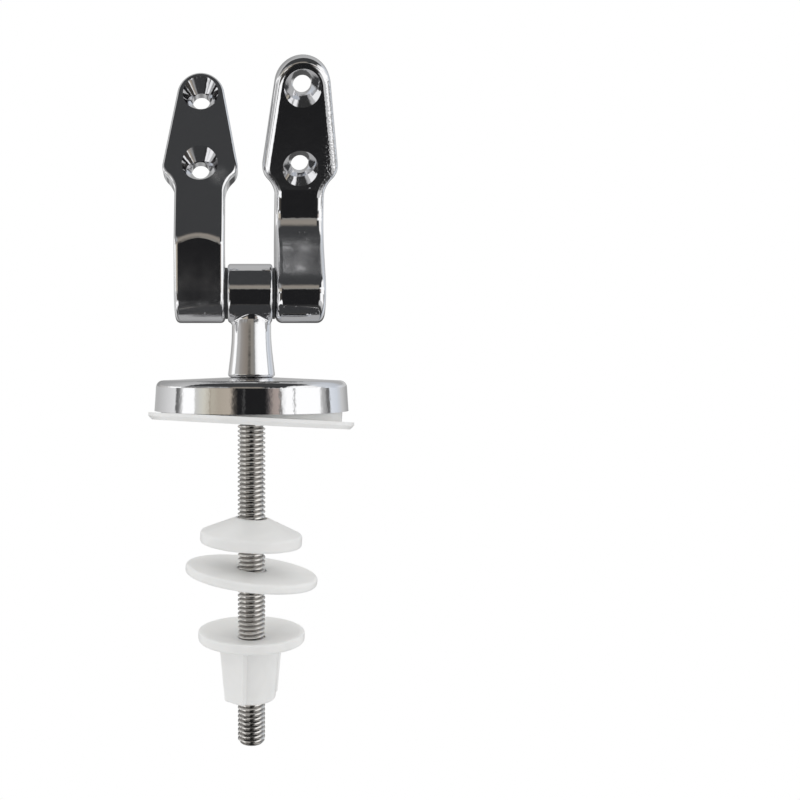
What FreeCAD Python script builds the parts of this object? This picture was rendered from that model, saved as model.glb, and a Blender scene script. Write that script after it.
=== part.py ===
"""Chromed hinge for a toilet seat and its lid, one of a handed pair.

A pillar with a cross barrel stands on a pressed base cup. Two cast arms, one for
the seat and one for the lid, swing on a pin through the barrel. A threaded stud
runs down from the pillar through the bowl, and a gasket, two washers and a
finned hand nut clamp it there.

Millimetres, +Z up, +X to the right of somebody facing the bowl, -Y towards them.
The origin is on the stud's axis, level with the rim of the base cup.
The arms stand as raised: the seat arm leans back and the lid arm leans forward.
"""

import FreeCAD
import Part
import math
import os

# Base cup
CUP_DIAMETER = 41.7
CUP_DRAFT = 0.45
CUP_HEIGHT = 7.1
CUP_DOME = 0.7
CUP_WALL = 1.0
CUP_EDGE_RADIUS = 1.5
CUP_HOLE_CLEARANCE = 0.1

# Pillar: foot, waisted neck and cross barrel
FOOT_DIAMETER = 10.1
FOOT_EDGE_RADIUS = 0.7
NECK_DIAMETER = 8.4
NECK_WAIST_HEIGHT = 17.4
NECK_FLARE_SLOPE = 0.12
SPIGOT_DIAMETER = 8.0
BARREL_DIAMETER = 12.5
BARREL_LENGTH = 9.5
BARREL_OFFSET = -0.3
BARREL_EDGE_RADIUS = 0.6
BARREL_FILLET = 0.9
PIN_HEIGHT = 25.05

# Hinge pin and the flanged bushes in the arms
PIN_DIAMETER = 6.0
PIN_CHAMFER = 0.4
PIN_GRIP = 8.6
RUNNING_CLEARANCE = 0.05
BUSH_WALL = 1.0
BUSH_FLANGE = 0.45
BUSH_FLANGE_DIAMETER = 10.9
SIDE_CLEARANCE = 0.1
BORE_END_CLEARANCE = 0.6

# Both arms: strap, pear-shaped screw plate and countersunk holes
ARM_WIDTH = 10.6
ARM_THICKNESS = 5.2
KNUCKLE_RADIUS = 6.3
PLATE_WIDTH = 16.0
PLATE_SHOULDER_RADIUS = 3.7
PLATE_WAIST_RADIUS = 5.5
HOLE_SPACING = 16.2
HOLE_DIAMETER = 3.8
SINK_ANGLE = 60.0

# Seat arm
SEAT_LEAN_BACK = 15.0
SEAT_PAD_TOP = 11.7
SEAT_PAD_BEND = 6.5
SEAT_CROWN_RADIUS = 32.0
SEAT_LOWER_HOLE = 25.65
SEAT_SINK_DIAMETER = 7.8
SEAT_TIP_RADIUS = 5.1
SEAT_REAR_FILLET = 4.0
SEAT_EDGE_RADIUS = 1.0

# Lid arm
LID_LEAN_FORWARD = 30.0
LID_FACE_SETBACK = 11.2
LID_LOWER_HOLE = 23.4
LID_SINK_DIAMETER = 7.5
LID_TIP_RADIUS = 5.7
LID_SCOOP_START = 18.9
LID_SCOOP_RADIUS = 11.0
LID_CREASE_HEIGHT = 3.6
LID_WEB_LEAN = 27.0
LID_REAR_RADIUS = 10.0
LID_EDGE_RADIUS = 1.6

# Stud
STUD_DIAMETER = 6.0
STUD_BOTTOM = -73.3
STUD_DEPTH_IN_PILLAR = 11.0
STUD_CHAMFER = 0.7

# Gasket under the cup
GASKET_DIAMETER = 44.3
GASKET_FLANGE = 1.5
GASKET_EDGE = 0.7
GASKET_HUB_CLEARANCE = 0.35
GASKET_HUB_HEIGHT = 2.6
GASKET_BORE = 7.2
GASKET_TILT = 4.1
GASKET_TILT_DIRECTION = 45.0
GASKET_RIM_CLEARANCE = 0.03

# Cone washer
CONE_DIAMETER = 22.2
CONE_RIM = 2.5
CONE_RISE = 3.3
CONE_TOP_DIAMETER = 7.3
CONE_MIDDLE_HEIGHT = -26.3
CONE_TILT = 3.0

# Flat washer
WASHER_DIAMETER = 28.9
WASHER_THICKNESS = 2.0
WASHER_EDGE_RADIUS = 0.7
WASHER_MIDDLE_HEIGHT = -35.65
WASHER_TILT = 6.4
WASHER_BORE_CLEARANCE = 0.25

# Hand nut
NUT_TOP = -48.2
NUT_FLANGE_DIAMETER = 23.3
NUT_FLANGE = 2.2
NUT_DISH = 1.5
NUT_RIM_WIDTH = 1.0
NUT_HEIGHT = 15.1
NUT_CORE_TOP_RADIUS = 6.2
NUT_CORE_BOTTOM_RADIUS = 5.3
NUT_FIN_TOP_REACH = 6.9
NUT_FIN_BOTTOM_REACH = 6.0
NUT_FIN_TOP_WIDTH = 6.6
NUT_FIN_BOTTOM_WIDTH = 5.0
NUT_FIN_DIRECTION = 50.0
NUT_EDGE_RADIUS = 0.7

# How far blanks and cutters pass the piece they shape
CUT_MARGIN = 1.0

# Sizes worked out from the driving ones
BARREL_RADIUS = BARREL_DIAMETER / 2
PIN_RADIUS = PIN_DIAMETER / 2
STUD_RADIUS = STUD_DIAMETER / 2
BUSH_BORE_RADIUS = PIN_RADIUS + RUNNING_CLEARANCE
BUSH_RADIUS = BUSH_BORE_RADIUS + BUSH_WALL
SIDE_GAP = BUSH_FLANGE + SIDE_CLEARANCE
BARREL_LEFT = BARREL_OFFSET - BARREL_LENGTH / 2
BARREL_RIGHT = BARREL_OFFSET + BARREL_LENGTH / 2
SEAT_ARM_INNER = BARREL_LEFT - SIDE_GAP
LID_ARM_INNER = BARREL_RIGHT + SIDE_GAP
CUP_RADIUS = CUP_DIAMETER / 2
CUP_BORE_RADIUS = CUP_RADIUS - CUP_WALL
ARM_BLANK_HALF = PLATE_WIDTH / 2 + CUT_MARGIN
BIG = 60.0

X_AXIS = FreeCAD.Vector(1, 0, 0)
Y_AXIS = FreeCAD.Vector(0, 1, 0)
Z_AXIS = FreeCAD.Vector(0, 0, 1)
ORIGIN = FreeCAD.Vector(0, 0, 0)
PIN_CENTRE = FreeCAD.Vector(0, 0, PIN_HEIGHT)


def revolve(points, rounded=()):
    """Turn a closed (radius, height) outline about Z, rounding the corners named by number."""
    corners = [FreeCAD.Vector(r, 0, z) for r, z in points]
    face = Part.Face(Part.makePolygon(corners + corners[:1]))
    solid = face.revolve(ORIGIN, Z_AXIS, 360)
    for number, radius in rounded:
        r, z = points[number]
        edges = [e for e in solid.Edges if is_ring(e, r, z)]
        solid = solid.makeFillet(radius, edges)
    return solid


def is_ring(edge, radius, height):
    """True for a full circle about Z with this radius at this height."""
    curve = edge.Curve
    return (
        isinstance(curve, Part.Circle)
        and abs(curve.Radius - radius) < 1e-4
        and abs(curve.Center.z - height) < 1e-4
    )


def cylinder_x(radius, start, end):
    """Cylinder on the hinge pin's axis between two places along X."""
    base = FreeCAD.Vector(start, 0, PIN_HEIGHT)
    return Part.makeCylinder(radius, end - start, base, X_AXIS)


def rim_edges(solid, directions):
    """Edges of the solid that are not straight lines along one of the directions."""
    kept = []
    for edge in solid.Edges:
        straight = isinstance(edge.Curve, Part.Line)
        along = straight and any(
            abs(abs(edge.tangentAt(edge.FirstParameter).dot(d)) - 1) < 1e-6 for d in directions
        )
        if not along:
            kept.append(edge)
    return kept


def tilt(shape, degrees, centre):
    """Roll a shape clockwise, as seen from the front, about a point."""
    shape.rotate(centre, Y_AXIS, degrees)
    return shape


# Base


def make_base_cup():
    """Pressed disc with a slightly raised top, open below, with a hole for the pillar."""
    hole = SPIGOT_DIAMETER / 2 + CUP_HOLE_CLEARANCE
    outside = domed_disc(CUP_RADIUS, CUP_HEIGHT, CUP_EDGE_RADIUS)
    inside = domed_disc(CUP_BORE_RADIUS, CUP_HEIGHT - CUP_WALL, CUP_EDGE_RADIUS - CUP_WALL / 2)
    return outside.cut(inside).cut(Part.makeCylinder(hole, CUP_HEIGHT))


def domed_disc(radius, height, edge_radius):
    """Solid disc with a drafted wall and a rounded shoulder, its top rising gently to the foot."""
    shoulder = radius - CUP_DRAFT
    shoulder_height = height - CUP_DOME
    flat = FOOT_DIAMETER / 2
    outline = [(0, 0), (radius, 0), (shoulder, shoulder_height), (flat, height), (0, height)]
    return revolve(outline, [(2, edge_radius)])


def make_pillar():
    """Cast neck that flares to a foot and carries the cross barrel, faced where the arms turn."""
    foot = FOOT_DIAMETER / 2
    neck = NECK_DIAMETER / 2
    barrel_low = PIN_HEIGHT - BARREL_RADIUS
    foot_bottom = FreeCAD.Vector(foot - FOOT_EDGE_RADIUS, 0, CUP_HEIGHT)
    foot_edge = FreeCAD.Vector(foot, 0, CUP_HEIGHT + FOOT_EDGE_RADIUS)
    waist = FreeCAD.Vector(neck, 0, NECK_WAIST_HEIGHT)
    top = FreeCAD.Vector(neck, 0, PIN_HEIGHT)
    bottom_centre = FreeCAD.Vector(0, 0, CUP_HEIGHT)
    turn = math.sqrt(0.5)
    round_middle = foot_bottom + FreeCAD.Vector(FOOT_EDGE_RADIUS * turn, 0, FOOT_EDGE_RADIUS * (1 - turn))
    flare = Part.BSplineCurve()
    flare.interpolate([foot_edge, waist, top], Tangents=[
        FreeCAD.Vector(-NECK_FLARE_SLOPE, 0, 1),
        FreeCAD.Vector(0, 0, 1),
        FreeCAD.Vector(0, 0, 1),
    ], TangentFlags=[True, True, True])
    outline = Part.Wire([
        Part.makeLine(bottom_centre, foot_bottom),
        Part.Arc(foot_bottom, round_middle, foot_edge).toShape(),
        flare.toShape(),
        Part.makeLine(top, PIN_CENTRE),
        Part.makeLine(PIN_CENTRE, bottom_centre),
    ])
    neck_solid = Part.Face(outline).revolve(ORIGIN, Z_AXIS, 360)
    spigot_low = CUP_HEIGHT - CUP_WALL
    spigot = Part.makeCylinder(SPIGOT_DIAMETER / 2, CUP_WALL, FreeCAD.Vector(0, 0, spigot_low))
    barrel = cylinder_x(BARREL_RADIUS, BARREL_LEFT, BARREL_RIGHT)
    rims = [e for e in barrel.Edges if isinstance(e.Curve, Part.Circle)]
    barrel = barrel.makeFillet(BARREL_EDGE_RADIUS, rims)
    pillar = barrel.fuse(neck_solid)
    seam = [e for e in pillar.Edges if not isinstance(e.Curve, (Part.Circle, Part.Line))
            and abs(e.CenterOfMass.z - barrel_low) < BARREL_RADIUS / 2]
    pillar = pillar.makeFillet(BARREL_FILLET, seam)
    pillar = pillar.fuse(spigot).removeSplitter()
    for start, end in ((BARREL_LEFT - BIG, BARREL_LEFT), (BARREL_RIGHT, BARREL_RIGHT + BIG)):
        pillar = pillar.cut(cylinder_x(KNUCKLE_RADIUS + SIDE_CLEARANCE, start, end))
    pin_bore = cylinder_x(PIN_RADIUS, BARREL_LEFT - CUT_MARGIN, BARREL_RIGHT + CUT_MARGIN)
    stud_bore = Part.makeCylinder(
        STUD_RADIUS, STUD_DEPTH_IN_PILLAR + CUP_WALL, FreeCAD.Vector(0, 0, spigot_low)
    )
    return pillar.cut(pin_bore).cut(stud_bore)


# Hinge


def make_hinge_pin():
    """Plain steel pin, gripped by the barrel, its ends inside the arms."""
    start = SEAT_ARM_INNER - PIN_GRIP
    end = LID_ARM_INNER + PIN_GRIP
    pin = cylinder_x(PIN_RADIUS, start, end)
    return pin.makeChamfer(PIN_CHAMFER, [e for e in pin.Edges if isinstance(e.Curve, Part.Circle)])


def make_bush(inner_face, outward):
    """Flanged bush pressed into an arm from its inner face."""
    middle = FreeCAD.Vector(inner_face, 0, PIN_HEIGHT)
    sleeve = Part.makeCylinder(BUSH_RADIUS, PIN_GRIP, middle, X_AXIS * outward)
    flange_radius = BUSH_FLANGE_DIAMETER / 2
    flange = Part.makeCylinder(flange_radius, BUSH_FLANGE, middle, X_AXIS * -outward)
    bore = cylinder_x(BUSH_BORE_RADIUS, inner_face - BIG, inner_face + BIG)
    return sleeve.fuse(flange).removeSplitter().cut(bore)


def pear_outline(lower_hole, tip_radius):
    """Front outline of an arm on its own plate: x across and z along it, from the pin's foot."""
    upper_hole = lower_hole + HOLE_SPACING
    half = ARM_WIDTH / 2
    shoulder_x = PLATE_WIDTH / 2 - PLATE_SHOULDER_RADIUS
    waist_x = half + PLATE_WAIST_RADIUS
    reach = PLATE_SHOULDER_RADIUS + PLATE_WAIST_RADIUS
    waist_drop = math.sqrt(reach**2 - (waist_x - shoulder_x) ** 2)
    tip = FreeCAD.Vector(0, 0, upper_hole)
    shoulder = FreeCAD.Vector(shoulder_x, 0, lower_hole)
    waist = FreeCAD.Vector(waist_x, 0, lower_hole - waist_drop)
    along = shoulder - tip
    distance = along.Length
    along.normalize()
    across = FreeCAD.Vector(-along.z, 0, along.x)
    share = (tip_radius - PLATE_SHOULDER_RADIUS) / distance
    normal = along * share + across * math.sqrt(1 - share**2)
    tip_end = tip + normal * tip_radius
    shoulder_start = shoulder + normal * PLATE_SHOULDER_RADIUS
    meet = shoulder + (waist - shoulder) * (PLATE_SHOULDER_RADIUS / reach)
    waist_end = FreeCAD.Vector(half, 0, waist.z)
    shoulder_middle = shoulder + FreeCAD.Vector(PLATE_SHOULDER_RADIUS, 0, 0)
    bisector = (meet - waist).normalize() + FreeCAD.Vector(-1, 0, 0)
    waist_middle = waist + bisector.normalize() * PLATE_WAIST_RADIUS
    foot = FreeCAD.Vector(half, 0, -BIG / 2)
    crown = tip + FreeCAD.Vector(0, 0, tip_radius)
    right = [
        Part.Arc(shoulder_start, shoulder_middle, meet).toShape(),
        Part.Arc(meet, waist_middle, waist_end).toShape(),
        Part.makeLine(waist_end, foot),
    ]
    if (tip_end - shoulder_start).Length > 1e-6:
        right.insert(0, Part.makeLine(tip_end, shoulder_start))
    left = [edge.mirror(ORIGIN, X_AXIS) for edge in right]
    mirrored_tip = FreeCAD.Vector(-tip_end.x, 0, tip_end.z)
    mirrored_foot = FreeCAD.Vector(-foot.x, 0, foot.z)
    edges = right + left
    edges.append(Part.Arc(tip_end, crown, mirrored_tip).toShape())
    edges.append(Part.makeLine(foot, mirrored_foot))
    return Part.Face(Part.Wire(Part.sortEdges(edges)[0]))


def plate_point(lean, ahead, along):
    """Point on a leaning plate: so far ahead of the pin's axis, so far along the plate."""
    angle = math.radians(lean)
    y = -ahead * math.cos(angle) + along * math.sin(angle)
    z = ahead * math.sin(angle) + along * math.cos(angle)
    return FreeCAD.Vector(0, y, z)


def arm_from_views(side_solid, lean, outline, edge_radius):
    """The shape that shows the side profile from the side and the pear outline from the front."""
    front = outline.extrude(FreeCAD.Vector(0, 2 * BIG, 0))
    front.translate(FreeCAD.Vector(0, -BIG, 0))
    front.rotate(ORIGIN, X_AXIS, -lean)
    arm = side_solid.common(front)
    square_to_plate = plate_point(lean, 1, 0)
    return arm.makeFillet(edge_radius, rim_edges(arm, [X_AXIS, square_to_plate]))


def screw_cutters(lean, face_ahead, lower_hole, sink_diameter):
    """Countersunk screw holes, sunk from the front face of a leaning plate."""
    inward = plate_point(lean, -1, 0)
    slope = math.tan(math.radians(SINK_ANGLE / 2))
    depth = (sink_diameter - HOLE_DIAMETER) / 2 / slope
    mouth = sink_diameter / 2 + CUT_MARGIN * slope
    cutters = []
    for along in (lower_hole, lower_hole + HOLE_SPACING):
        above = plate_point(lean, face_ahead, along) - inward * CUT_MARGIN
        cutters.append(Part.makeCone(mouth, HOLE_DIAMETER / 2, depth + CUT_MARGIN, above, inward))
        cutters.append(Part.makeCylinder(HOLE_DIAMETER / 2, ARM_THICKNESS + 2 * CUT_MARGIN, above, inward))
    return cutters


def finish_arm(arm, cutters, inner_face, outward):
    """Sink the screw holes, bore the knuckle blind for its bush and put the arm in its place."""
    for cutter in cutters:
        arm = arm.cut(cutter)
    centre = FreeCAD.Vector(inner_face + outward * ARM_WIDTH / 2, 0, PIN_HEIGHT)
    arm.translate(centre)
    start = FreeCAD.Vector(inner_face - outward * CUT_MARGIN, 0, PIN_HEIGHT)
    depth = CUT_MARGIN + PIN_GRIP + BORE_END_CLEARANCE
    return arm.cut(Part.makeCylinder(BUSH_RADIUS, depth, start, X_AXIS * outward))


def side_prism(edges):
    """Extrude a closed side profile a little wider than the plate."""
    face = Part.Face(Part.Wire(edges))
    face.translate(FreeCAD.Vector(-ARM_BLANK_HALF, 0, 0))
    return face.extrude(FreeCAD.Vector(2 * ARM_BLANK_HALF, 0, 0))


def knuckle_disc():
    """Round end of an arm about the pin's axis, as long as the side prism."""
    start = FreeCAD.Vector(-ARM_BLANK_HALF, 0, 0)
    return Part.makeCylinder(KNUCKLE_RADIUS, 2 * ARM_BLANK_HALF, start, X_AXIS)


def cross_edges(solid, y, z):
    """Straight edges along X that pass close to a place in the side view."""
    found = []
    for edge in solid.Edges:
        middle = edge.CenterOfMass
        near = math.hypot(middle.y - y, middle.z - z) < 0.05
        if near and isinstance(edge.Curve, Part.Line):
            found.append(edge)
    return found


def polyline(points):
    """Straight edges through a list of points."""
    return [Part.makeLine(a, b) for a, b in zip(points, points[1:])]


def seat_face_ahead():
    """How far the seat arm's plate lies ahead of the pin: it meets the flat pad at its top."""
    angle = math.radians(SEAT_LEAN_BACK)
    return (KNUCKLE_RADIUS + SEAT_PAD_TOP * math.tan(angle)) * math.cos(angle)


def lies_in_pad_bend(edge, pad_y):
    """True for the curved edge where the crowned plate meets the flat pad."""
    inside = edge.BoundBox.YMax < pad_y + 1e-4 and edge.BoundBox.YMin > pad_y - 1e-4
    return inside and not isinstance(edge.Curve, Part.Line)


def below_pin():
    """Everything lower than the pin's axis."""
    return Part.makeBox(2 * BIG, 2 * BIG, BIG, FreeCAD.Vector(-BIG, -BIG, -BIG))


def make_seat_arm():
    """Arm with a flat upright pad on its knuckle block, under a crowned plate that leans back."""
    ahead = seat_face_ahead()
    behind = ahead - ARM_THICKNESS
    lean = SEAT_LEAN_BACK
    angle = math.radians(lean)
    tip = SEAT_LOWER_HOLE + HOLE_SPACING + SEAT_TIP_RADIUS + CUT_MARGIN
    pad_top = FreeCAD.Vector(0, -KNUCKLE_RADIUS, SEAT_PAD_TOP)
    front_y = -ahead / math.cos(angle)
    rear_y = -behind / math.cos(angle)
    rear_low = FreeCAD.Vector(0, rear_y, 0)
    front_low = FreeCAD.Vector(0, front_y, 0)
    profile = [
        front_low,
        plate_point(lean, ahead, tip),
        plate_point(lean, behind, tip),
        rear_low,
        front_low,
    ]
    blank = side_prism(polyline(profile))
    crown_low = plate_point(lean, ahead - SEAT_CROWN_RADIUS, -BIG / 2)
    crown = Part.makeCylinder(SEAT_CROWN_RADIUS, 2 * BIG, crown_low, plate_point(lean, 0, 1))
    before_pad = Part.makeBox(2 * BIG, BIG, 2 * BIG, FreeCAD.Vector(-BIG, -KNUCKLE_RADIUS - BIG, -BIG))
    blank = blank.common(crown).cut(before_pad)
    bend = [e for e in blank.Edges if lies_in_pad_bend(e, pad_top.y)]
    blank = blank.makeFillet(SEAT_PAD_BEND, bend)
    blank = blank.cut(below_pin()).fuse(knuckle_disc()).removeSplitter()
    slope = math.tan(angle)
    square = 1 + slope**2
    half_sum = -rear_y * slope / square
    rear_z = half_sum + math.sqrt(half_sum**2 - (rear_y**2 - KNUCKLE_RADIUS**2) / square)
    blank = blank.makeFillet(SEAT_REAR_FILLET, cross_edges(blank, rear_y + rear_z * slope, rear_z))
    outline = pear_outline(SEAT_LOWER_HOLE, SEAT_TIP_RADIUS)
    arm = arm_from_views(blank, lean, outline, SEAT_EDGE_RADIUS)
    cutters = screw_cutters(lean, ahead, SEAT_LOWER_HOLE, SEAT_SINK_DIAMETER)
    return finish_arm(arm, cutters, SEAT_ARM_INNER, -1)


def tangent_from(point, centre, radius):
    """Place where a line from a point touches the far lower side of a circle in the side view."""
    gap = centre - point
    distance = gap.Length
    turn = math.asin(radius / distance)
    heading = math.atan2(gap.z, gap.y) - turn
    length = math.sqrt(distance**2 - radius**2)
    return point + FreeCAD.Vector(0, math.cos(heading), math.sin(heading)) * length


def crossing(start, direction, other, other_direction):
    """Crossing of two lines in the side view."""
    gap = other - start
    bottom = direction.y * other_direction.z - direction.z * other_direction.y
    travel = (gap.y * other_direction.z - gap.z * other_direction.y) / bottom
    return start + direction * travel


def make_lid_arm():
    """Swan-necked arm: a scoop climbs from the knuckle to a plate that leans forward."""
    lean = -LID_LEAN_FORWARD
    ahead = -LID_FACE_SETBACK
    behind = ahead - ARM_THICKNESS
    tip = LID_LOWER_HOLE + HOLE_SPACING + LID_TIP_RADIUS + CUT_MARGIN
    crease_y = -math.sqrt(KNUCKLE_RADIUS**2 - LID_CREASE_HEIGHT**2)
    crease = FreeCAD.Vector(0, crease_y, LID_CREASE_HEIGHT)
    scoop_top = plate_point(lean, ahead, LID_SCOOP_START)
    facing = plate_point(lean, 1, 0)
    scoop_centre = scoop_top + facing * LID_SCOOP_RADIUS
    scoop_low = tangent_from(crease, scoop_centre, LID_SCOOP_RADIUS)
    bisector = (scoop_low - scoop_centre).normalize() + (scoop_top - scoop_centre).normalize()
    scoop_middle = scoop_centre + bisector.normalize() * LID_SCOOP_RADIUS
    web = math.radians(LID_WEB_LEAN)
    web_low = FreeCAD.Vector(0, math.cos(web), -math.sin(web)) * KNUCKLE_RADIUS
    web_heading = FreeCAD.Vector(0, math.sin(web), math.cos(web))
    rear_corner = crossing(web_low, web_heading, plate_point(lean, behind, 0), plate_point(lean, 0, 1))
    profile = [
        Part.makeLine(crease, scoop_low),
        Part.Arc(scoop_low, scoop_middle, scoop_top).toShape(),
    ]
    profile += polyline([
        scoop_top,
        plate_point(lean, ahead, tip),
        plate_point(lean, behind, tip),
        rear_corner,
        web_low,
        ORIGIN,
        crease,
    ])
    blank = side_prism(profile).fuse(knuckle_disc()).removeSplitter()
    blank = blank.makeFillet(LID_REAR_RADIUS, cross_edges(blank, rear_corner.y, rear_corner.z))
    outline = pear_outline(LID_LOWER_HOLE, LID_TIP_RADIUS)
    arm = arm_from_views(blank, lean, outline, LID_EDGE_RADIUS)
    cutters = screw_cutters(lean, ahead, LID_LOWER_HOLE, LID_SINK_DIAMETER)
    return finish_arm(arm, cutters, LID_ARM_INNER, 1)


# Bowl clamp


def make_stud():
    """Plain rod at the thread's outside size, screwed up into the pillar."""
    top = CUP_HEIGHT - CUP_WALL + STUD_DEPTH_IN_PILLAR
    stud = Part.makeCylinder(STUD_RADIUS, top - STUD_BOTTOM, FreeCAD.Vector(0, 0, STUD_BOTTOM))
    return stud.makeChamfer(STUD_CHAMFER, [e for e in stud.Edges if is_ring(e, STUD_RADIUS, STUD_BOTTOM)])


def make_gasket():
    """Flanged plastic gasket whose hub sits in the cup, touching the rim in front and hanging behind."""
    outer = GASKET_DIAMETER / 2
    hub = CUP_BORE_RADIUS - GASKET_HUB_CLEARANCE
    bore = GASKET_BORE / 2
    gasket = revolve([
        (bore, -GASKET_FLANGE),
        (outer - (GASKET_FLANGE - GASKET_EDGE), -GASKET_FLANGE),
        (outer, -GASKET_EDGE),
        (outer, 0),
        (hub, 0),
        (hub, GASKET_HUB_HEIGHT),
        (bore, GASKET_HUB_HEIGHT),
    ])
    gasket.translate(FreeCAD.Vector(0, 0, -GASKET_RIM_CLEARANCE))
    bearing = math.radians(GASKET_TILT_DIRECTION)
    low_side = FreeCAD.Vector(math.cos(bearing), math.sin(bearing), 0)
    gasket.rotate(low_side * -CUP_RADIUS, Z_AXIS.cross(low_side), GASKET_TILT)
    return gasket


def make_cone_washer():
    """Plastic washer that centres itself in the bowl's hole, held on the stud at a slight tilt."""
    bore = STUD_RADIUS + WASHER_BORE_CLEARANCE
    outer = CONE_DIAMETER / 2
    low = CONE_MIDDLE_HEIGHT - (CONE_RIM + CONE_RISE) / 2
    rim_top = low + CONE_RIM
    washer = revolve([
        (bore, low),
        (outer, low),
        (outer, rim_top),
        (CONE_TOP_DIAMETER / 2, rim_top + CONE_RISE),
        (bore, rim_top + CONE_RISE),
    ], [(1, WASHER_EDGE_RADIUS), (2, WASHER_EDGE_RADIUS)])
    return tilt(washer, CONE_TILT, FreeCAD.Vector(0, 0, CONE_MIDDLE_HEIGHT))


def make_flat_washer():
    """Wide plastic washer, held on the stud at a tilt."""
    bore = STUD_RADIUS + WASHER_BORE_CLEARANCE
    outer = WASHER_DIAMETER / 2
    low = WASHER_MIDDLE_HEIGHT - WASHER_THICKNESS / 2
    top = low + WASHER_THICKNESS
    washer = revolve(
        [(bore, low), (outer, low), (outer, top), (bore, top)],
        [(1, WASHER_EDGE_RADIUS), (2, WASHER_EDGE_RADIUS)],
    )
    return tilt(washer, WASHER_TILT, FreeCAD.Vector(0, 0, WASHER_MIDDLE_HEIGHT))


def make_hand_nut():
    """Plastic nut with a dished flange and a tapered body that two flat fins widen for the fingers."""
    flange_low = NUT_TOP - NUT_FLANGE
    bottom = NUT_TOP - NUT_HEIGHT
    outer = NUT_FLANGE_DIAMETER / 2
    flange = revolve([
        (0, flange_low),
        (outer, flange_low),
        (outer, NUT_TOP),
        (outer - NUT_RIM_WIDTH, NUT_TOP),
        (STUD_RADIUS + NUT_RIM_WIDTH, NUT_TOP - NUT_DISH),
        (0, NUT_TOP - NUT_DISH),
    ], [(1, NUT_EDGE_RADIUS), (2, NUT_EDGE_RADIUS / 2)])
    height = flange_low - bottom
    base = FreeCAD.Vector(0, 0, bottom)
    core = Part.makeCone(NUT_CORE_BOTTOM_RADIUS, NUT_CORE_TOP_RADIUS, height, base)
    fins = Part.makeLoft([
        rectangle(NUT_FIN_BOTTOM_REACH, NUT_FIN_BOTTOM_WIDTH / 2, bottom),
        rectangle(NUT_FIN_TOP_REACH, NUT_FIN_TOP_WIDTH / 2, flange_low),
    ], True)
    fins.rotate(ORIGIN, Z_AXIS, NUT_FIN_DIRECTION)
    body = core.fuse(fins).removeSplitter()
    foot = [e for e in body.Edges if abs(e.BoundBox.ZMax - bottom) < 1e-4]
    body = body.makeFillet(NUT_EDGE_RADIUS, foot)
    start = FreeCAD.Vector(0, 0, bottom - CUT_MARGIN)
    thread = Part.makeCylinder(STUD_RADIUS + RUNNING_CLEARANCE, NUT_HEIGHT + 2 * CUT_MARGIN, start)
    return body.fuse(flange).removeSplitter().cut(thread)


def rectangle(half_x, half_y, height):
    """Rectangular wire about Z at a height."""
    corners = [(-half_x, -half_y), (half_x, -half_y), (half_x, half_y), (-half_x, half_y)]
    points = [FreeCAD.Vector(x, y, height) for x, y in corners]
    return Part.makePolygon(points + points[:1])


def make_nodes():
    """Every separate piece of the hinge, by name."""
    return {
        "base_cup": make_base_cup(),
        "pillar": make_pillar(),
        "hinge_pin": make_hinge_pin(),
        "seat_arm": make_seat_arm(),
        "seat_arm_bush": make_bush(SEAT_ARM_INNER, -1),
        "lid_arm": make_lid_arm(),
        "lid_arm_bush": make_bush(LID_ARM_INNER, 1),
        "stud": make_stud(),
        "gasket": make_gasket(),
        "cone_washer": make_cone_washer(),
        "flat_washer": make_flat_washer(),
        "hand_nut": make_hand_nut(),
    }


os.makedirs("parts", exist_ok=True)
for name, shape in make_nodes().items():
    shape.exportStep(f"parts/{name}.step")
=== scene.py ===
import math

import bmesh
import bpy
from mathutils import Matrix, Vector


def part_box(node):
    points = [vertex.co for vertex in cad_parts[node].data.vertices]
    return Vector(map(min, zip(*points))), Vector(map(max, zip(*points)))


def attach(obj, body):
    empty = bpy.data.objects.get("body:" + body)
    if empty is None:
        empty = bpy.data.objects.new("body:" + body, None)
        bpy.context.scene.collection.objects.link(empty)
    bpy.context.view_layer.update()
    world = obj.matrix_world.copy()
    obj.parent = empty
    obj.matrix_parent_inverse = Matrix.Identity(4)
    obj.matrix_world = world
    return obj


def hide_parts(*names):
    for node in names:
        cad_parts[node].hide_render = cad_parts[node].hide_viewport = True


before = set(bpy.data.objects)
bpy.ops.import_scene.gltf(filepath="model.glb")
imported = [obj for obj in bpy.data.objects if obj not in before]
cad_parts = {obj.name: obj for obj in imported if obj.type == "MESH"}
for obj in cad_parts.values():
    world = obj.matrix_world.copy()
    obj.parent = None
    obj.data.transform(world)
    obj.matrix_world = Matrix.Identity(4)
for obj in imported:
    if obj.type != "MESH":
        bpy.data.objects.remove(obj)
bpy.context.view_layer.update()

MM = 0.001

# Camera, as found from the picture's own pixels

IMAGE_SIZE = 800
FOCAL_PIXELS = 903
PRINCIPAL_PIXELS = (251.5, 430)
SENSOR_WIDTH = 36
CAMERA_PLACE = (0, -195 * MM, 8 * MM)
CAMERA_PITCH = 3.6

# Thread of the stud

THREAD_PITCH = 1.0 * MM
THREAD_RADIUS = 3.0 * MM
THREAD_INSET = 0.01 * MM
THREAD_DEPTH = 0.5 * MM
ROOT_SHARE = 0.10
FLANK_SHARE = 0.74
PROFILE_PHASES = (0.0, 0.06, 0.12, 0.2, 0.3, 0.4, 0.5, 0.6, 0.7, 0.8, 0.88, 0.94)
THREAD_STEPS = 72
END_INSET = 0.1 * MM
STUD_TOP = 17.0 * MM
MERGED_BELOW = 0.002 * MM
DISSOLVED_BELOW = 0.0005 * MM
FLANK_EASE = 0.24 * MM
# Painted shade: the darker colour given to the thread's grooves
ROOT_PAINTED_SHADE = (0.25, 0.235, 0.22)

# Marks in the plating, in the hinge's own frame

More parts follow.
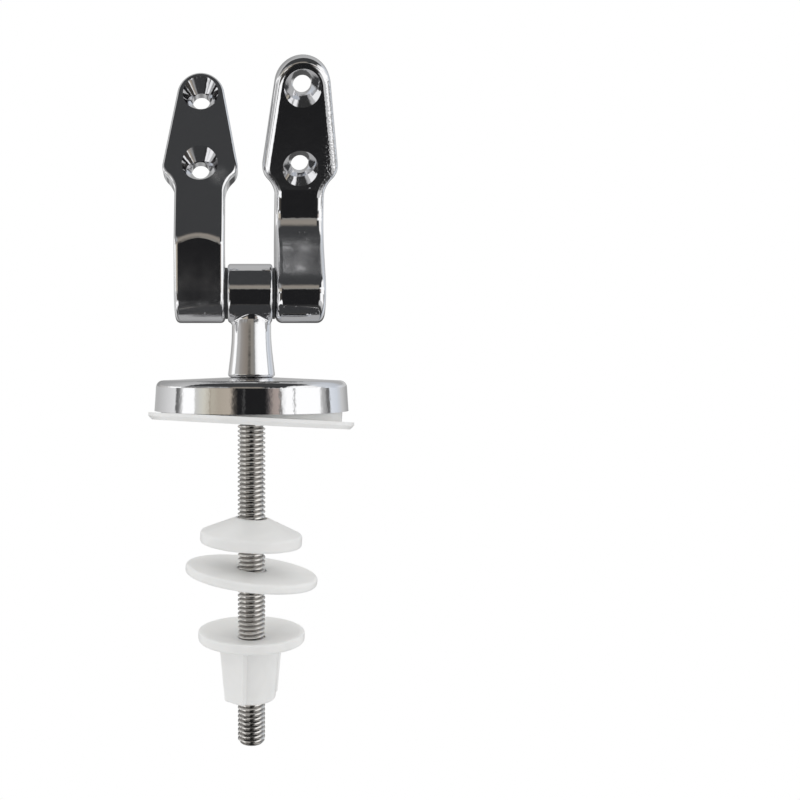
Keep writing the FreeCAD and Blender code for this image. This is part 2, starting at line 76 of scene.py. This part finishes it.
NECK_MIDDLE = 12.0 * MM
NECK_TOP = 19.4 * MM
NECK_STEEPENING = 8.7
PEENED_SIDE = 15.4 * MM
PEENED_FOOT = 38 * MM
PEEN_SCALE = 2300
PEEN_DEPTH = 0.085 * MM
SCOOP_BOTTOM = 28 * MM
SCOOP_TOP = 37.5 * MM
SCOOP_DULLNESS = 0.36
RUBBED_PLACE = (-6.8 * MM, 0, 49.3 * MM)
RUBBED_RADIUS = 1.7 * MM
RUBBED_DULLNESS = 0.60
PAD_MIDDLE = 30 * MM
PAD_DULLNESS = 0.22

# Tones, where 1 is the white of the background

PLATING = (0.84, 0.84, 0.85)
WHITE = (1.18, 1.18, 1.18)
DARK = (0.014, 0.014, 0.015)
DUSK = (0.050, 0.051, 0.053)
FLOOR_DUSK = (0.040, 0.040, 0.040)
BEIGE = (0.30, 0.272, 0.238)


def grey(value):
    return (value, value, value)


def opaque(colour):
    """A colour with its alpha, or the socket that was handed in."""
    return (*colour, 1) if isinstance(colour, tuple) else colour


# Node helpers

class Graph:
    """Adds nodes to one tree and keeps the wiring short."""

    def __init__(self, tree):
        self.tree = tree
        tree.nodes.clear()

    def node(self, kind, **settings):
        made = self.tree.nodes.new(kind)
        for key, value in settings.items():
            setattr(made, key, value)
        return made

    def put(self, socket, value):
        if isinstance(value, bpy.types.NodeSocket):
            self.tree.links.new(value, socket)
        elif value is not None:
            socket.default_value = value

    def math(self, operation, a, b=None, c=None, clamp=False):
        made = self.node("ShaderNodeMath", operation=operation, use_clamp=clamp)
        for number, value in enumerate((a, b, c)):
            self.put(made.inputs[number], value)
        return made.outputs[0]

    def product(self, a, b):
        return self.math("MULTIPLY", a, b)

    def without(self, value):
        """What is left of one."""
        return self.math("SUBTRACT", 1.0, value)

    def step(self, value, edge, soft):
        """Nothing below the edge and one above it, or the other way round for a negative soft."""
        made = self.node("ShaderNodeMapRange", interpolation_type="SMOOTHSTEP")
        self.put(made.inputs["Value"], value)
        made.inputs["From Min"].default_value = edge - soft / 2
        made.inputs["From Max"].default_value = edge + soft / 2
        return made.outputs[0]

    def band(self, value, low, high, soft):
        """One between low and high, falling to nothing over the soft width."""
        up = self.step(value, low, soft)
        down = self.step(value, high, soft)
        return self.math("SUBTRACT", up, down, clamp=True)

    def mix(self, factor, a, b):
        made = self.node("ShaderNodeMix", data_type="RGBA")
        self.put(made.inputs["Factor"], factor)
        self.put(made.inputs["A"], opaque(a))
        self.put(made.inputs["B"], opaque(b))
        return made.outputs["Result"]

    def ramp(self, value, stops):
        made = self.node("ShaderNodeValToRGB")
        self.put(made.inputs["Fac"], value)
        elements = made.color_ramp.elements
        while len(elements) > 1:
            elements.remove(elements[-1])
        first, *others = stops
        elements[0].position = first[0]
        elements[0].color = opaque(first[1])
        for place, colour in others:
            elements.new(place).color = opaque(colour)
        return made.outputs["Color"]

    def noise(self, where, scale, detail=2.0, rough=0.5, distortion=0.0):
        made = self.node("ShaderNodeTexNoise")
        self.put(made.inputs["Vector"], where)
        made.inputs["Scale"].default_value = scale
        made.inputs["Detail"].default_value = detail
        made.inputs["Roughness"].default_value = rough
        made.inputs["Distortion"].default_value = distortion
        return made.outputs["Fac"]

    def parts(self, vector):
        made = self.node("ShaderNodeSeparateXYZ")
        self.put(made.inputs[0], vector)
        return made.outputs

    def facing(self, axis):
        """How far the surface faces along one of the object's own axes."""
        return self.parts(self.node("ShaderNodeTexCoord").outputs["Normal"])[axis]

    def bump(self, height, distance, normal=None):
        made = self.node("ShaderNodeBump")
        self.put(made.inputs["Height"], height)
        made.inputs["Strength"].default_value = 1.0
        made.inputs["Distance"].default_value = distance
        self.put(made.inputs["Normal"], normal)
        return made.outputs["Normal"]


def new_material(name):
    made = bpy.data.materials.new(name)
    made.use_nodes = True
    graph = Graph(made.node_tree)
    shader = graph.node("ShaderNodeBsdfPrincipled")
    output = graph.node("ShaderNodeOutputMaterial")
    graph.put(output.inputs["Surface"], shader.outputs["BSDF"])
    where = graph.node("ShaderNodeTexCoord").outputs["Object"]
    return made, graph, shader, where


# Plating

def specks(graph, where, scale, share, size):
    """Small round marks in some of the cells of a scattered grid."""
    cells = graph.node("ShaderNodeTexVoronoi")
    graph.put(cells.inputs["Vector"], where)
    cells.inputs["Scale"].default_value = scale
    chosen = graph.math("LESS_THAN", cells.outputs["Color"], share)
    near = graph.without(graph.step(cells.outputs["Distance"], size, size * 0.8))
    return graph.product(chosen, near)


def chrome(name, wave, wave_size, ripple, ripple_size, pitted, relief=None, haze=None):
    """Bright plating over cast metal: faint waves, fine ripples, pits and uneven polish.

    Waves and ripples are in millimetres, and pitted is the share of cells that hold a pit.
    relief adds a finer form of its own to the normal, and haze says where the polish is dull.
    """
    made, graph, shader, where = new_material(name)
    waves = graph.noise(where, 1 / (wave_size * MM), 1.5)
    ripples = graph.noise(where, 1 / (ripple_size * MM), 2.0)
    pits = specks(graph, where, 900, pitted, 0.16)
    polish = graph.noise(where, 420, 3, 0.65)
    normal = graph.bump(waves, wave * MM)
    normal = graph.bump(ripples, ripple * MM, normal)
    normal = graph.bump(graph.product(pits, -1.0), 0.012 * MM, normal)
    roughness = graph.math("MULTIPLY_ADD", polish, 0.05, 0.025)
    roughness = graph.math("MULTIPLY_ADD", pits, 0.25, roughness)
    if relief:
        height, distance = relief(graph, where)
        normal = graph.bump(height, distance, normal)
    if haze:
        dull = graph.product(haze(graph, where), graph.noise(where, 380, 3, 0.6))
        roughness = graph.math("MULTIPLY_ADD", dull, 0.9, roughness)
        normal = graph.bump(dull, 0.05 * MM, normal)
    graph.put(shader.inputs["Normal"], normal)
    graph.put(shader.inputs["Roughness"], roughness)
    graph.put(shader.inputs["Base Color"], opaque(PLATING))
    graph.put(shader.inputs["Metallic"], 1.0)
    return made


def neck_taper(graph, where):
    """The neck narrows evenly up to the barrel: a fall that steepens over its upper half."""
    z = graph.parts(where)[2]
    above = graph.math("SUBTRACT", graph.math("MINIMUM", z, NECK_TOP), NECK_MIDDLE)
    above = graph.math("MAXIMUM", above, 0.0)
    return graph.product(graph.product(above, above), -NECK_STEEPENING), 1.0


def peened_border(graph, where):
    """Dents along the front of the lid plate's right border."""
    x, y, z = graph.parts(where)
    near = graph.product(graph.step(x, PEENED_SIDE, 2.6 * MM), graph.step(z, PEENED_FOOT, 3 * MM))
    front = graph.without(graph.step(graph.facing(0), 0.93, 0.12))
    dents = graph.noise(where, PEEN_SCALE, 1.0)
    return graph.product(graph.product(near, front), dents), PEEN_DEPTH


def lid_haze(graph, where):
    """A dull scoop between the lid arm's plate and its knuckle."""
    scoop = graph.band(graph.parts(where)[2], SCOOP_BOTTOM, SCOOP_TOP, 1.5 * MM)
    return graph.product(scoop, SCOOP_DULLNESS)


def seat_haze(graph, where):
    """A rubbed spot right of the lower screw hole, and a pad whose polish dulls downwards."""
    flat = graph.node("ShaderNodeVectorMath", operation="MULTIPLY")
    graph.put(flat.inputs[0], where)
    flat.inputs[1].default_value = (1, 0, 1)
    away = graph.node("ShaderNodeVectorMath", operation="DISTANCE")
    graph.put(away.inputs[0], flat.outputs[0])
    away.inputs[1].default_value = RUBBED_PLACE
    spot = graph.without(graph.step(away.outputs["Value"], RUBBED_RADIUS, 2.6 * MM))
    spot = graph.product(spot, graph.step(graph.facing(1), 0.0, -0.4))
    pad = graph.without(graph.step(graph.parts(where)[2], PAD_MIDDLE, 12 * MM))
    return graph.math("MULTIPLY_ADD", spot, RUBBED_DULLNESS, graph.product(pad, PAD_DULLNESS))


# Steel and plastics

def thread_crests(graph, where):
    """One on the thread's crests and nothing in its roots."""
    x, y, z = graph.parts(where)
    turned = graph.math("ARCTAN2", y, x)
    phase = graph.math("SUBTRACT", graph.product(z, math.tau / THREAD_PITCH), turned)
    return graph.math("MULTIPLY_ADD", graph.math("COSINE", phase), 0.5, 0.5)


def steel(name, threaded=False):
    """Rolled stainless: fine scratches round the rod and a slightly warm tone.

    A thread's flanks are rounded in the normal, as rolling leaves them, and its roots carry painted
    shade: a darker colour in the grooves.
    """
    made, graph, shader, where = new_material(name)
    stretch = graph.node("ShaderNodeMapping")
    graph.put(stretch.inputs["Vector"], where)
    stretch.inputs["Scale"].default_value = (1, 1, 9)
    scratches = graph.noise(stretch.outputs[0], 900, 3, 0.6)
    patches = graph.noise(where, 260, 2)
    tone = graph.ramp(patches, [(0.3, (0.68, 0.66, 0.63)), (0.7, (0.86, 0.84, 0.81))])
    normal = None
    if threaded:
        crests = thread_crests(graph, where)
        normal = graph.bump(graph.product(crests, -1.0), FLANK_EASE)
        # Painted shade: the roots are coloured darker than the crests
        tone = graph.mix(graph.step(crests, 0.48, 0.70), ROOT_PAINTED_SHADE, tone)
    graph.put(shader.inputs["Normal"], graph.bump(scratches, 0.0008 * MM, normal))
    graph.put(shader.inputs["Base Color"], tone)
    graph.put(shader.inputs["Roughness"], graph.math("MULTIPLY_ADD", scratches, 0.08, 0.06))
    graph.put(shader.inputs["Metallic"], 1.0)
    return made


def white_plastic(name):
    """Moulded satin plastic that lets a little light through."""
    made, graph, shader, where = new_material(name)
    grain = graph.noise(where, 2600, 2, 0.6)
    flow = graph.noise(where, 130, 2, 0.5, 0.6)
    tone = graph.ramp(flow, [(0.3, (0.86, 0.86, 0.85)), (0.7, (0.91, 0.91, 0.90))])
    graph.put(shader.inputs["Base Color"], tone)
    graph.put(shader.inputs["Roughness"], graph.math("MULTIPLY_ADD", flow, 0.12, 0.27))
    normal = graph.bump(flow, 0.05 * MM)
    graph.put(shader.inputs["Normal"], graph.bump(grain, 0.004 * MM, normal))
    graph.put(shader.inputs["Subsurface Weight"], 0.35)
    graph.put(shader.inputs["Subsurface Radius"], (1.0, 0.95, 0.9))
    graph.put(shader.inputs["Subsurface Scale"], 1.2 * MM)
    return made


def dark_plastic(name):
    """Dull dark bearing plastic."""
    made, graph, shader, where = new_material(name)
    grain = graph.noise(where, 1800, 3, 0.6)
    tone = graph.ramp(grain, [(0.3, (0.030, 0.032, 0.035)), (0.7, (0.055, 0.058, 0.062))])
    graph.put(shader.inputs["Base Color"], tone)
    graph.put(shader.inputs["Roughness"], graph.math("MULTIPLY_ADD", grain, 0.2, 0.35))
    graph.put(shader.inputs["Normal"], graph.bump(grain, 0.01 * MM))
    return made


# The threaded stud

def thread_radius(phase):
    """Radius of the thread at a phase of the pitch: a rounded root and a narrow rounded crest."""
    slope = abs(phase - 0.5) * 2
    rise = min(max((slope - ROOT_SHARE) / FLANK_SHARE, 0.0), 1.0)
    rounded = rise * rise * (3 - 2 * rise)
    return THREAD_RADIUS - THREAD_INSET - THREAD_DEPTH * (1 - rounded)


def thread_column(mesh, share, first, turns, low, high):
    """Points up the thread at one share of a turn, cut to the rod's length and chamfered below."""
    angle = 2 * math.pi * share
    end_radius = THREAD_RADIUS - THREAD_DEPTH - END_INSET
    column = []
    for turn in range(turns):
        for phase in PROFILE_PHASES:
            height = (first + turn + phase + share) * THREAD_PITCH
            radius = min(thread_radius(phase), end_radius + max(height - low, 0.0))
            height = min(max(height, low), high)
            column.append(mesh.verts.new((radius * math.cos(angle), radius * math.sin(angle), height)))
    return column


def make_stud(low, high):
    """Threaded rod whose mesh follows the helix, with a lead chamfer and a flat end."""
    per_turn = len(PROFILE_PHASES)
    first = int(low / THREAD_PITCH) - 2
    turns = int((high - low) / THREAD_PITCH) + 5
    mesh = bmesh.new()
    columns = [
        thread_column(mesh, step / THREAD_STEPS, first, turns, low, high)
        for step in range(THREAD_STEPS)
    ]
    # The column after the last is the first one, a whole turn higher.
    columns.append(columns[0][per_turn:])
    for here, there in zip(columns, columns[1:]):
        for row in range((turns - 1) * per_turn - 1):
            mesh.faces.new((here[row], there[row], there[row + 1], here[row + 1]))
    bmesh.ops.remove_doubles(mesh, verts=mesh.verts, dist=MERGED_BELOW)
    bmesh.ops.dissolve_degenerate(mesh, edges=mesh.edges, dist=DISSOLVED_BELOW)
    for face in mesh.faces:
        face.smooth = True
    open_edges = [edge for edge in mesh.edges if edge.is_boundary]
    bmesh.ops.holes_fill(mesh, edges=open_edges, sides=0)
    bmesh.ops.recalc_face_normals(mesh, faces=mesh.faces)
    data = bpy.data.meshes.new("threaded_stud")
    mesh.to_mesh(data)
    mesh.free()
    made = bpy.data.objects.new("threaded_stud", data)
    bpy.context.collection.objects.link(made)
    return made


# Dressing

def paint(node, material):
    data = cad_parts[node].data
    data.materials.clear()
    data.materials.append(material)


cup_plating = chrome(
    "chrome_cup", wave=0.012, wave_size=7, ripple=0.016, ripple_size=1.0, pitted=0.05)
pillar_plating = chrome(
    "chrome_pillar", wave=0.012, wave_size=7, ripple=0.008, ripple_size=0.9, pitted=0.05,
    relief=neck_taper)
seat_plating = chrome(
    "chrome_seat", wave=0.014, wave_size=6, ripple=0.006, ripple_size=0.9, pitted=0.12,
    haze=seat_haze)
lid_plating = chrome(
    "chrome_lid", wave=0.020, wave_size=4, ripple=0.010, ripple_size=0.9, pitted=0.16,
    relief=peened_border, haze=lid_haze)
white = white_plastic("white_plastic")
bearing = dark_plastic("bearing_plastic")
stainless = steel("stainless")
rolled_steel = steel("rolled_thread", threaded=True)

for node, material in (
    ("base_cup", cup_plating),
    ("pillar", pillar_plating),
    ("seat_arm", seat_plating),
    ("lid_arm", lid_plating),
    ("hinge_pin", stainless),
    ("seat_arm_bush", bearing),
    ("lid_arm_bush", bearing),
    ("gasket", white),
    ("cone_washer", white),
    ("flat_washer", white),
    ("hand_nut", white),
):
    paint(node, material)

stud_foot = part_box("stud")[0][2]
stud = make_stud(stud_foot, STUD_TOP)
stud.data.materials.append(rolled_steel)
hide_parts("stud")
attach(stud, "pillar")


# Surroundings: what the chrome mirrors, with plain white behind the hinge.
# Angles are in degrees, and side runs from the far left at -90 to the far right at 90.

def boards(graph, side, stops):
    """Colours of upright boards, from the far left to the far right."""
    return graph.ramp(graph.math("MULTIPLY_ADD", side, 1 / 180, 0.5), [
        (degrees / 180 + 0.5, colour) for degrees, colour in stops
    ])


def floor_sheets(graph, side, height):
    """Two sheets of paper on the table, either side of a dark gap that widens upwards."""
    out = graph.math("ABSOLUTE", side)
    reach = graph.math("SUBTRACT", out, height)
    sheet = graph.product(graph.step(out, 10, 4), graph.step(reach, 46, 6))
    paper = graph.mix(graph.step(side, 0, 2), WHITE, grey(0.60))
    return graph.mix(sheet, DARK, paper)


def front_boards(graph, side, height, lifted):
    """What stands before the hinge, in layers from the table up."""
    # Mirrored by the stud and by the bend of the lid arm.
    counter = boards(graph, side, [
        (-88, grey(0.70)),
        (-66, grey(0.50)),
        (-62, WHITE),
        (-53, WHITE),
        (-49, grey(0.08)),
        (-40, (0.075, 0.068, 0.06)),
        (-22, (0.055, 0.05, 0.046)),
        (-12, DARK),
        (12, DARK),
        (17, (0.045, 0.042, 0.04)),
        (23, grey(0.30)),
        (30, WHITE),
        (66, WHITE),
        (72, grey(0.35)),
        (88, grey(0.60)),
    ])
    # Mirrored by the knuckles' lower edges.
    shelf = boards(graph, side, [
        (-88, grey(0.90)),
        (-68, grey(0.60)),
        (-64, grey(0.08)),
        (-45, grey(0.04)),
        (-42, WHITE),
        (-31, WHITE),
        (-28, grey(0.05)),
        (-24, DARK),
        (21, DARK),
        (26, grey(0.22)),
        (36, grey(0.22)),
        (42, WHITE),
        (88, WHITE),
    ])
    # Mirrored by the cup's wall and by the seat arm's pad.
    level = boards(graph, side, [
        (-80, WHITE),
        (-70, WHITE),
        (-67, (0.64, 0.64, 0.62)),
        (-56, (0.70, 0.68, 0.60)),
        (-50, (0.58, 0.54, 0.46)),
        (-49, (0.40, 0.36, 0.30)),
        (-47, (0.52, 0.48, 0.40)),
        (-38, (0.46, 0.41, 0.34)),
        (-25, (0.50, 0.44, 0.37)),
        (-20, (0.10, 0.09, 0.08)),
        (-16, DARK),
        (-11, DARK),
        (-9, grey(0.07)),
        (-7, DARK),
        (16, DARK),
        (20, (0.10, 0.09, 0.09)),
        (25, (0.40, 0.34, 0.31)),
        (31, (0.45, 0.38, 0.35)),
        (33, (0.20, 0.19, 0.18)),
        (36, grey(0.95)),
        (41, WHITE),
        (49, WHITE),
        (50.5, grey(0.35)),
        (52, WHITE),
        (80, WHITE),
    ])
    # Mirrored by the neck.
    neck_high = boards(graph, side, [
        (-88, grey(0.50)),
        (-70, (0.48, 0.47, 0.46)),
        (-58, (0.34, 0.32, 0.30)),
        (-40, (0.30, 0.27, 0.24)),
        (-22, (0.25, 0.22, 0.19)),
        (-15, (0.10, 0.09, 0.08)),
        (-7, (0.07, 0.065, 0.06)),
        (-2, (0.25, 0.24, 0.22)),
        (16, (0.28, 0.28, 0.27)),
        (21, grey(0.85)),
        (28, grey(1.08)),
        (36, WHITE),
        (88, WHITE),
    ])
    # Mirrored by the neck's sides and by the rounded borders of the arms.
    upper = boards(graph, side, [
        (-75, grey(0.20)),
        (-57, grey(0.26)),
        (-46, grey(0.46)),
        (-40, grey(0.24)),
        (-34, grey(0.40)),
        (-28, grey(0.36)),
        (-22, grey(0.10)),
        (-15, grey(0.06)),
        (16, grey(0.03)),
        (36, grey(0.03)),
        (42, grey(0.95)),
        (55, WHITE),
        (85, grey(0.60)),
    ])
    colour = FLOOR_DUSK
    for scale, edge, soft, layer in (
        (height, -50, 12, floor_sheets(graph, side, height)),
        (height, -29, 6, counter),
        (height, -3, 1, shelf),
        (lifted, -0.5, 2, level),
        (lifted, 8.3, 1.5, neck_high),
        (lifted, 13.5, 3, upper),
    ):
        colour = graph.mix(graph.step(scale, edge, soft), colour, layer)
    strip = graph.product(graph.band(side, -22, 12, 8), graph.step(height, 15, 6))
    colour = graph.mix(strip, colour, BEIGE)
    # The dusk overhead starts higher on the right.
    raised = graph.product(graph.step(side, 38, 8), 9.0)
    return graph.mix(graph.step(graph.math("SUBTRACT", height, raised), 27, 10), colour, DUSK)


def rear_boards(graph, x, y, z, lifted):
    """What stands behind the hinge, by how far back it is, warmer left and bluer right."""
    low_left = graph.ramp(y, [
        (0.0, grey(0.55)),
        (0.08, grey(0.20)),
        (0.14, grey(0.12)),
        (0.18, grey(0.82)),
        (0.45, grey(0.70)),
        (0.85, grey(0.50)),
    ])
    low_right = graph.ramp(y, [
        (0.0, grey(0.55)),
        (0.12, grey(0.38)),
        (0.17, grey(0.16)),
        (0.23, grey(0.18)),
        (0.28, (0.80, 0.84, 0.90)),
        (0.50, (0.70, 0.74, 0.80)),
        (0.70, grey(0.62)),
        (0.90, grey(0.40)),
    ])
    neck_left = graph.ramp(y, [
        (0.0, grey(0.60)),
        (0.05, WHITE),
        (0.34, WHITE),
        (0.48, (0.66, 0.65, 0.64)),
        (0.75, (0.50, 0.49, 0.48)),
        (0.90, grey(0.30)),
    ])
    neck_right = graph.ramp(y, [
        (0.0, WHITE),
        (0.03, (0.55, 0.56, 0.58)),
        (0.10, (0.55, 0.57, 0.60)),
        (0.16, (0.78, 0.82, 0.87)),
        (0.45, (0.60, 0.64, 0.70)),
        (0.65, (0.72, 0.74, 0.78)),
        (0.85, grey(0.60)),
    ])
    upper_left = graph.ramp(y, [
        (0.0, grey(0.60)),
        (0.4, grey(0.50)),
        (0.8, grey(0.36)),
    ])
    upper_right = graph.ramp(y, [
        (0.0, (0.72, 0.75, 0.79)),
        (0.6, (0.58, 0.61, 0.66)),
        (0.8, grey(0.45)),
    ])
    right = graph.step(x, 0.05, 0.5)
    colour = graph.mix(right, low_left, low_right)
    colour = graph.mix(graph.step(lifted, 7, 2), colour, graph.mix(right, neck_left, neck_right))
    colour = graph.mix(graph.step(lifted, 16, 4), colour, graph.mix(right, upper_left, upper_right))
    colour = graph.mix(graph.step(z, 0.72, 0.3), colour, grey(0.50))
    # The light falls off towards the floor, most of all far back.
    lit = graph.math("MULTIPLY_ADD", graph.step(z, -0.68, 0.4), 0.87, 0.13)
    below = graph.product(graph.step(y, 0.80, 0.12), graph.step(z, -0.08, -0.12))
    lit = graph.product(lit, graph.math("MULTIPLY_ADD", below, -0.80, 1.0))
    shade = graph.node("ShaderNodeVectorMath", operation="SCALE")
    graph.put(shade.inputs[0], colour)
    graph.put(shade.inputs["Scale"], lit)
    return shade.outputs[0]


def make_world():
    """Boards for glossy rays, soft even light for the others, and white for the camera."""
    world = bpy.data.worlds.new("studio")
    bpy.context.scene.world = world
    world.use_nodes = True
    graph = Graph(world.node_tree)
    heading = graph.node("ShaderNodeTexCoord").outputs["Generated"]
    x, y, z = graph.parts(heading)
    to_degrees = 180 / math.pi
    side = graph.product(graph.math("ARCSINE", x), to_degrees)
    height = graph.product(graph.math("ARCSINE", z), to_degrees)
    # Stays the same across an upright wall of even slope, however it turns.
    lifted = graph.math("MULTIPLY_ADD", y, 3.5, height)
    colour = front_boards(graph, side, height, lifted)
    # The front reaches a little past the zenith.
    behind = graph.math("MULTIPLY_ADD", graph.step(z, 0.8, 0.3), -0.12, y)
    colour = graph.mix(graph.step(behind, -0.03, 0.10), colour, rear_boards(graph, x, y, z, lifted))

    level_light = graph.math("MULTIPLY_ADD", y, 0.16, 0.92)
    light = graph.math("MULTIPLY_ADD", z, 0.12, level_light)
    soft = graph.node("ShaderNodeCombineColor")
    for channel in soft.inputs:
        graph.put(channel, light)
    rays = graph.node("ShaderNodeLightPath").outputs
    shown = graph.mix(rays["Is Glossy Ray"], soft.outputs[0], colour)
    shown = graph.mix(rays["Is Camera Ray"], shown, grey(1))
    studio = graph.node("ShaderNodeBackground")
    graph.put(studio.inputs["Color"], shown)
    output = graph.node("ShaderNodeOutputWorld")
    graph.put(output.inputs["Surface"], studio.outputs[0])


def make_camera():
    view = bpy.data.cameras.new("view")
    view.sensor_width = SENSOR_WIDTH
    view.lens = SENSOR_WIDTH * FOCAL_PIXELS / IMAGE_SIZE
    view.shift_x = 0.5 - PRINCIPAL_PIXELS[0] / IMAGE_SIZE
    view.shift_y = PRINCIPAL_PIXELS[1] / IMAGE_SIZE - 0.5
    view.clip_start = 10 * MM
    eye = bpy.data.objects.new("view", view)
    eye.location = CAMERA_PLACE
    eye.rotation_euler = (math.radians(90 - CAMERA_PITCH), 0, 0)
    bpy.context.collection.objects.link(eye)
    bpy.context.scene.camera = eye


make_world()
make_camera()
bpy.context.scene.view_settings.view_transform = "Standard"
